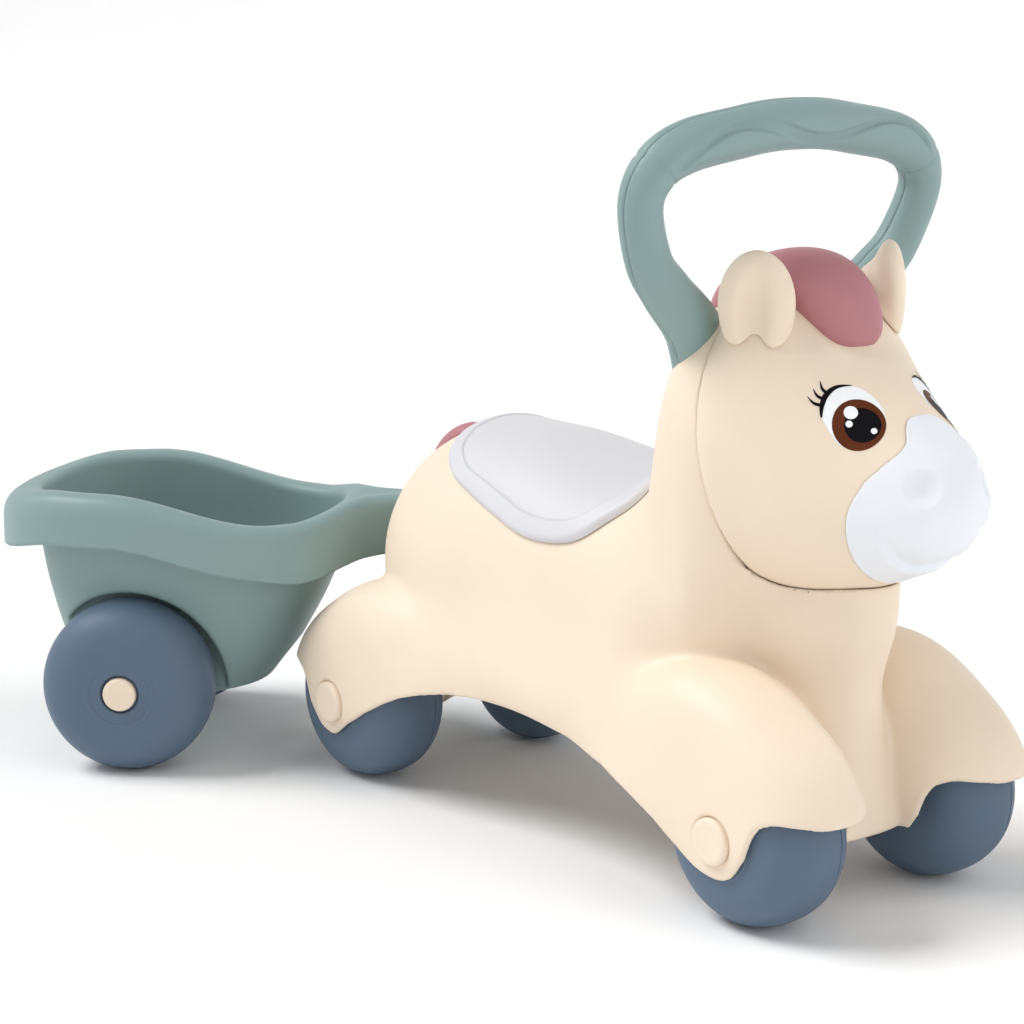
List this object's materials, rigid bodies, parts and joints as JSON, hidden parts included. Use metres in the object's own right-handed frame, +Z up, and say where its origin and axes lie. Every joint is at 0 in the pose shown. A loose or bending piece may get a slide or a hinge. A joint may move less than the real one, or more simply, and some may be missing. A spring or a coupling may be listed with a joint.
{
  "type": "ride-on toy pony with hitched trailer",
  "caption": "Moulded ride-on pony for a toddler, with loop handle, padded seat shape, rolling wheels under arched legs and a swivelling two-wheeled trailer",
  "frame": {"origin": "On the floor, midway between the pony's axles, on its middle plane", "axes": "X forward along the pony, Y to the pony's left, Z up"},
  "size_m": [0.7614, 0.3768, 0.4678],
  "materials": {
    "cream": "satin moulded plastic",
    "white": "satin moulded plastic",
    "seat_white": "satin moulded plastic",
    "rose": "satin moulded plastic",
    "sage": "satin moulded plastic",
    "slate": "satin moulded plastic",
    "steel": "plain drawn rod"
  },
  "bodies": {
    "pony": {"body_shell": "cream", "head_shell": "cream", "muzzle": "white", "mane": "rose", "tail": "rose", "ear_right": "cream", "ear_left": "cream", "seat": "seat_white", "handle_front": "sage", "handle_back": "sage", "front_axle": "steel", "rear_axle": "steel", "cap_front_right": "cream", "cap_front_left": "cream", "cap_rear_right": "cream", "cap_rear_left": "cream", "hitch_bracket": "cream", "hitch_pin": "cream"},
    "front_right_wheel": {"wheel_front_right": "slate", "wheel_front_right_cover": "slate"},
    "front_left_wheel": {"wheel_front_left": "slate", "wheel_front_left_cover": "slate"},
    "rear_right_wheel": {"wheel_rear_right": "slate", "wheel_rear_right_cover": "slate"},
    "rear_left_wheel": {"wheel_rear_left": "slate", "wheel_rear_left_cover": "slate"},
    "trailer": {"trailer_tub": "sage", "tow_ring": "sage", "trailer_axle": "steel", "cap_trailer_right": "cream", "cap_trailer_left": "cream"},
    "trailer_right_wheel": {"wheel_trailer_right": "slate", "wheel_trailer_right_cover": "slate"},
    "trailer_left_wheel": {"wheel_trailer_left": "slate", "wheel_trailer_left_cover": "slate"}
  },
  "joints": [
    {"name": "front_right_roll", "type": "hinge", "parent": "pony", "child": "front_right_wheel", "pos_m": [0.1895, -0.072, 0.056], "axis": [0, 1, 0], "continuous": true},
    {"name": "front_left_roll", "type": "hinge", "parent": "pony", "child": "front_left_wheel", "pos_m": [0.1895, 0.072, 0.056], "axis": [0, 1, 0], "continuous": true},
    {"name": "rear_right_roll", "type": "hinge", "parent": "pony", "child": "rear_right_wheel", "pos_m": [-0.1895, -0.072, 0.056], "axis": [0, 1, 0], "continuous": true},
    {"name": "rear_left_roll", "type": "hinge", "parent": "pony", "child": "rear_left_wheel", "pos_m": [-0.1895, 0.072, 0.056], "axis": [0, 1, 0], "continuous": true},
    {"name": "trailer_swing", "type": "hinge", "parent": "pony", "child": "trailer", "pos_m": [-0.2375, 0, 0.155], "axis": [0, 0, 1], "range_deg": [-96, 4]},
    {"name": "trailer_right_roll", "type": "hinge", "parent": "trailer", "child": "trailer_right_wheel", "pos_m": [-0.3048, -0.19637, 0.0595], "axis": [-0.7193, 0.6947, 0], "continuous": true},
    {"name": "trailer_left_roll", "type": "hinge", "parent": "trailer", "child": "trailer_left_wheel", "pos_m": [-0.4314, -0.0741, 0.0595], "axis": [-0.7193, 0.6947, 0], "continuous": true}
  ]
}
